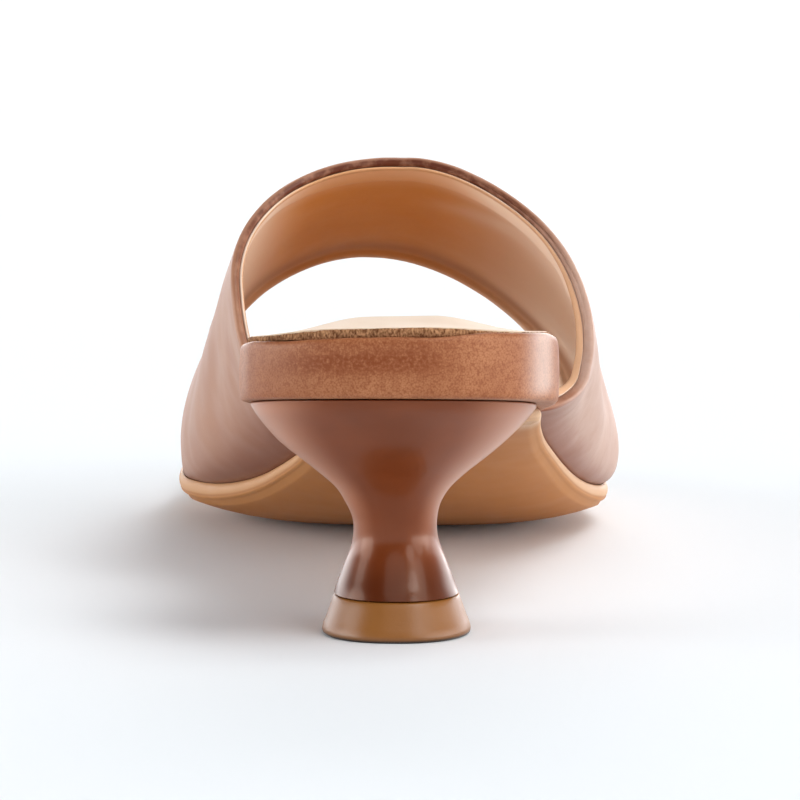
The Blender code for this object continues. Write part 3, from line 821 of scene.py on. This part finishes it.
def colour(code):
    """An sRGB hex colour as linear light."""
    channels = [int(code[i:i + 2], 16) / 255 for i in (1, 3, 5)]
    linear = [c / 12.92 if c <= 0.04045 else ((c + 0.055) / 1.055) ** 2.4 for c in channels]
    return (*linear, 1.0)


def feed(tree, node, inputs):
    """Sets a node's inputs, each to a value or to the socket that feeds it."""
    for name, value in inputs.items():
        if isinstance(value, bpy.types.NodeSocket):
            tree.links.new(value, node.inputs[name])
        else:
            node.inputs[name].default_value = value


def add(tree, kind, inputs=None, **settings):
    """Adds a node with its inputs and its settings."""
    made = tree.nodes.new(kind)
    for name, value in settings.items():
        setattr(made, name, value)
    feed(tree, made, inputs or {})
    return made


def start_material(name):
    """A new material: its tree, its shader and the shoe's own coordinates in metres."""
    material = bpy.data.materials.new(name)
    material.use_nodes = True
    tree = material.node_tree
    place = add(tree, "ShaderNodeTexCoord").outputs["Object"]
    return material, tree, tree.nodes["Principled BSDF"], place


def per_mm(spacing):
    """The texture scale that sets features this many millimetres apart."""
    return 1.0 / (spacing * MM)


def speckle(tree, place, spacing, low, high, detail=3.0, dark=0.0, bright=1.0):
    """Noise of one spacing, stretched from low..high to dark..bright."""
    grain = add(tree, "ShaderNodeTexNoise", {"Vector": place, "Scale": per_mm(spacing), "Detail": detail})
    return add(
        tree, "ShaderNodeMapRange",
        {"Value": grain.outputs["Fac"], "From Min": low, "From Max": high, "To Min": dark, "To Max": bright},
    ).outputs["Result"]


def dyed(tree, code, *coats):
    """A colour with coats over it, one after another: each has where it lies, from 0 to 1, and its colour."""
    tone = colour(code)
    for share, coat in coats:
        mixed = add(tree, "ShaderNodeMixRGB", {"Fac": share, "Color1": tone, "Color2": colour(coat)})
        tone = mixed.outputs["Color"]
    return tone


def leather(name, deep, light, drift=0.5, mottle=0.3, mottle_mm=3.5, pores=0.3, pore_mm=0.8, bump_mm=0.05,
            roughness=0.45, sheen=0.1, shine="#FFDCC0", marks=()):
    """Grained leather: two tones that drift over the hide, darker patches, and pores between its cells.

    Real pores are 0.1 to 0.2 mm apart, too fine to show, so they are drawn coarser. Wax tints the shine.
    marks are the mesh's own marks, each with the colour it takes there, how strongly, and the size of the
    patches it is broken into, or 0.
    """
    material, tree, shader, place = start_material(name)
    slow = speckle(tree, place, 20.0, 0.3, 0.7, 2.0, 0.5 - drift / 2, 0.5 + drift / 2)
    patches = speckle(tree, place, mottle_mm, 0.42, 0.68, 6.0, 0.0, mottle)
    cells = add(tree, "ShaderNodeTexVoronoi", {"Vector": place, "Scale": per_mm(pore_mm)}, feature="F1")
    cells = cells.outputs["Distance"]
    pore = add(
        tree, "ShaderNodeMapRange",
        {"Value": cells, "From Min": 0.35, "From Max": 0.85, "To Min": 0.0, "To Max": pores},
    ).outputs["Result"]
    coats = [(slow, light), (patches, deep), (pore, deep)]
    for mark, code, strength, patch_mm in marks:
        here = add(tree, "ShaderNodeAttribute", attribute_name=mark).outputs["Fac"]
        if patch_mm:
            strength = speckle(tree, place, patch_mm, 0.3, 0.56, 4.0, 0.3 * strength, strength)
        share = add(tree, "ShaderNodeMath", {0: here, 1: strength}, operation="MULTIPLY").outputs["Value"]
        coats.append((share, code))
    fine = speckle(tree, place, 0.35, 0.3, 0.7, 4.0)
    height = add(tree, "ShaderNodeMath", {0: cells, 1: fine}, operation="MULTIPLY").outputs["Value"]
    grain = add(
        tree, "ShaderNodeBump", {"Height": height, "Strength": 0.5, "Distance": bump_mm * MM}, invert=True
    )
    feed(tree, shader, {
        "Base Color": dyed(tree, deep, *coats),
        "Roughness": speckle(tree, place, 7.0, 0.35, 0.65, 1.0, roughness - 0.02, roughness + 0.03),
        "Normal": grain.outputs["Normal"],
        "IOR": 1.5,
        "Specular Tint": colour(shine),
        "Sheen Weight": sheen,
        "Sheen Roughness": 0.5,
        "Sheen Tint": colour("#FFE9DE"),
    })
    return material


def raw_edge():
    """Leather cut and left raw: fine upright fibre ends, dull, dark in the gaps and tan at their tips."""
    material, tree, shader, place = start_material("leather, cut raw")
    upright = add(tree, "ShaderNodeMapping", {"Vector": place, "Scale": (1.0, 1.0, 0.55)}).outputs["Vector"]
    # Real fibres are finer than 0.1 mm and would not show, so they are drawn 0.4 mm apart.
    fibres = speckle(tree, upright, 0.4, 0.35, 0.68, 5.0)
    patches = speckle(tree, place, 5.0, 0.35, 0.7, 2.0, 0.0, 0.5)
    loose = add(tree, "ShaderNodeBump", {"Height": fibres, "Strength": 0.8, "Distance": 0.15 * MM})
    feed(tree, shader, {
        "Base Color": dyed(tree, "#63391F", (fibres, "#C49268"), (patches, "#5A3820")),
        "Normal": loose.outputs["Normal"],
        "Roughness": 0.9,
        "Specular IOR Level": 0.2,
    })
    return material


def lacquer():
    """Lacquer, sprayed: a soft even gloss over a red-brown coat, painted shade at its foot, painted sheen on
    its flare.
    """
    material, tree, shader, place = start_material("lacquer, sprayed")
    drift = speckle(tree, place, 14.0, 0.35, 0.65)
    # The foot mark carries painted shade towards the heel's foot.
    foot, painted_flank_sheen = (
        add(tree, "ShaderNodeAttribute", attribute_name=mark).outputs["Fac"] for mark in ("foot", "painted_flank_sheen")
    )
    # Sprayed drops flow together into a faint skin of waves.
    peel = add(tree, "ShaderNodeTexNoise", {"Vector": place, "Scale": per_mm(1.6), "Detail": 2.0})
    waves = add(
        tree, "ShaderNodeBump", {"Height": peel.outputs["Fac"], "Strength": 0.1, "Distance": 0.04 * MM}
    )
    feed(tree, shader, {
        "Base Color": dyed(tree, "#6B3010", (drift, "#763817"), (foot, "#441804"), (painted_flank_sheen, "#A87054")),
        "Normal": waves.outputs["Normal"],
        "Roughness": 0.3,
        "IOR": 1.5,
        "Specular Tint": colour("#FFD6BA"),
        "Coat Weight": 0.25,
        "Coat Tint": colour("#FFE6D2"),
        "Coat Roughness": 0.12,
    })
    return material


def make_materials():
    return {
        # An even pinkish brown with a soft, slightly warm shine. Its turned collar is darker, partly by
        # painted shade, with painted shade low on the wall, painted sheen on the lateral wall and painted
        # light on the toe fold.
        "calf": leather(
            "calf leather, waxed", "#94604A", "#B98A6C", drift=0.25, mottle=0.08, mottle_mm=9.0, pores=0.1,
            pore_mm=0.6, bump_mm=0.02, roughness=0.42, sheen=0.04, shine="#FFE8DA",
            marks=(("low", "#702C06", 0.8, 0), ("turned", "#58220A", 1.0, 2.2),
                   ("toe_fold", "#C8966A", 0.8, 0), ("painted_sheen", "#EADCD4", 0.14, 0),
                   ("painted_sheen", "#EADCD4", 0.12, 2.5)),
        ),
        # Matt golden tan, with painted light by the collar and along the sides, painted shade on its roof,
        # and a band of painted shade near the toe edge.
        "lining": leather(
            "pigskin, drum dyed", "#D68C40", "#E6A052", drift=0.35, mottle=0.2, mottle_mm=3.0, pores=0.2,
            pore_mm=0.9, bump_mm=0.03, roughness=0.6, sheen=0.0, shine="#FFD0A0",
            marks=(("painted_light", "#FFEAD6", 0.95, 0), ("painted_roof_shade", "#A8632A", 0.35, 0), ("line", "#8A4408", 0.7, 0),
                   ("cut", "#C69066", 0.85, 0)),
        ),
        # Matt cream, and almost even.
        "sock": leather(
            "sock leather, drum dyed", "#C6A98C", "#D0B99F", drift=0.3, mottle=0.06, pores=0.1, bump_mm=0.03,
            roughness=0.55, sheen=0.05,
        ),
        "raw_edge": raw_edge(),
        # A close speckle of dark pores on tan, under a soft waxy shine, darker down the middle of the back,
        # and with painted highlight at the hind corners.
        "rand": leather(
            "thin leather, rubbed with wax", "#7A3C1E", "#C88A60", drift=0.35, mottle=0.4, mottle_mm=1.4,
            pores=0.7, pore_mm=0.36, bump_mm=0.04, roughness=0.45, sheen=0.0,
            marks=(("darker_band", "#74300C", 0.85, 0.7), ("painted_highlight", "#E8D8D0", 0.45, 0)),
        ),
        # Even tan, with a paler edge, painted shade in the edge's crease, and painted highlight on the hind
        # corners and the lateral bead.
        "sole": leather(
            "sole leather, burnished", "#A6672E", "#C07E40", drift=0.3, mottle=0.08, mottle_mm=6.0,
            pores=0.04, bump_mm=0.005, roughness=0.55, sheen=0.0,
            marks=(("roll", "#B87E48", 0.8, 0), ("bead", "#C9996E", 0.85, 0), ("groove", "#8A5228", 0.35, 0),
                   ("sole_painted_highlight", "#DCC0A4", 0.6, 0)),
        ),
        "lacquer": lacquer(),
        # Satin tan with hardly any grain, and painted contact shadow along its lower edge.
        "tip": leather(
            "rubber, moulded", "#804D19", "#94602B", drift=0.3, mottle=0.05, pores=0.05, bump_mm=0.025,
            roughness=0.33, sheen=0.0, shine="#FFFFFF", marks=(("painted_contact_shadow", "#1E1209", 0.95, 0),),
        ),
    }


# ---------------------------------------------------------------- stage

# The light of the studio's walls and ceiling, and the share of it that the wall behind the heel has.
WALL_LIGHT, CEILING_LIGHT, NEAR_WALL = 3.2, 0.1, 0.35
# Soft lights far off: azimuth 0 is behind the heel and 90 on the lateral side, and spread is their width.
LIGHTS = (
    # name         azimuth elevation spread strength
    ("key",         45,    55,       26,    0.85),
    ("near_panel",  36,    30,       20,    0.34),
    ("key_side",    60,    45,       26,    0.3),
    ("top_right",   92,    68,       30,    0.6),
    ("top_near",    0,     45,       30,    0.24),
    ("far_wall",    176,   12,       44,    1.8),
    ("right_wall",  62,    9,        40,    1.05),
    ("right_panel", 92,    8,        24,    0.42),
    ("left_wall",   280,   12,       44,    1.4),
)


def make_floor():
    deselect()
    bpy.ops.mesh.primitive_plane_add(size=12)
    floor = bpy.context.object
    floor.name = "floor"
    # Even, pale and without any shine.
    material, tree, shader, _ = start_material("paper, matt coated")
    feed(tree, shader, {"Base Color": colour("#EFF3F6"), "Roughness": 0.9, "Specular IOR Level": 0.1})
    floor.data.materials.append(material)


def distant_softbox(name, azimuth, elevation, spread, strength):
    """One of the lights, its angles in degrees."""
    turn, rise = math.radians(azimuth), math.radians(elevation)
    place = Vector((math.sin(turn) * math.cos(rise), -math.cos(turn) * math.cos(rise), math.sin(rise)))
    light = bpy.data.lights.new(name, "SUN")
    light.angle = math.radians(spread)
    light.energy = strength
    lamp = bpy.data.objects.new(name, light)
    lamp.rotation_euler = (-place).to_track_quat("-Z", "Y").to_euler()
    bpy.context.collection.objects.link(lamp)


def make_light():
    """White walls that are dimmer behind the heel and darken towards the ceiling, and the soft lights."""
    world = bpy.data.worlds.new("studio")
    bpy.context.scene.world = world
    world.use_nodes = True
    tree = world.node_tree
    direction = add(tree, "ShaderNodeTexCoord").outputs["Generated"]
    towards = add(tree, "ShaderNodeSeparateXYZ", {"Vector": direction})
    wall = add(
        tree, "ShaderNodeMapRange",
        {"Value": towards.outputs["Z"], "From Min": 0.16, "From Max": 0.36, "To Min": WALL_LIGHT,
         "To Max": CEILING_LIGHT},
        interpolation_type="SMOOTHSTEP",
    ).outputs["Result"]
    near = add(
        tree, "ShaderNodeMapRange",
        {"Value": towards.outputs["Y"], "From Min": -0.85, "From Max": 0.1, "To Min": NEAR_WALL,
         "To Max": 1.0},
        interpolation_type="SMOOTHSTEP",
    ).outputs["Result"]
    strength = add(tree, "ShaderNodeMath", {0: wall, 1: near}, operation="MULTIPLY").outputs["Value"]
    feed(tree, tree.nodes["Background"], {"Strength": strength, "Color": colour("#F6FAFF")})
    for row in LIGHTS:
        distant_softbox(*row)


# The camera: its place from the shoe's zero, how many degrees it looks down and to the left, and its lens.
CAMERA_PLACE, LOOKS_DOWN, LOOKS_LEFT = (35.54, -1299.5, 212.0), 7.235, 1.5
LENS, SENSOR, CLIP_END = 330.5, 36.0, 50.0


def make_camera():
    """A long lens behind the heel, a little above the seat."""
    data = bpy.data.cameras.new("camera")
    data.lens = LENS
    data.sensor_width = SENSOR
    data.clip_end = CLIP_END
    camera = bpy.data.objects.new("camera", data)
    camera.location = np.array(CAMERA_PLACE) * MM + ZERO
    camera.rotation_euler = (math.radians(90 - LOOKS_DOWN), 0.0, math.radians(LOOKS_LEFT))
    bpy.context.collection.objects.link(camera)
    bpy.context.scene.camera = camera


materials = make_materials()
make_band(materials)
make_footbed(materials)
make_sock(materials)
make_outsole(materials)
make_heel(materials)
make_top_piece(materials)
make_floor()
make_light()
make_camera()
bpy.context.scene.view_settings.view_transform = "Standard"
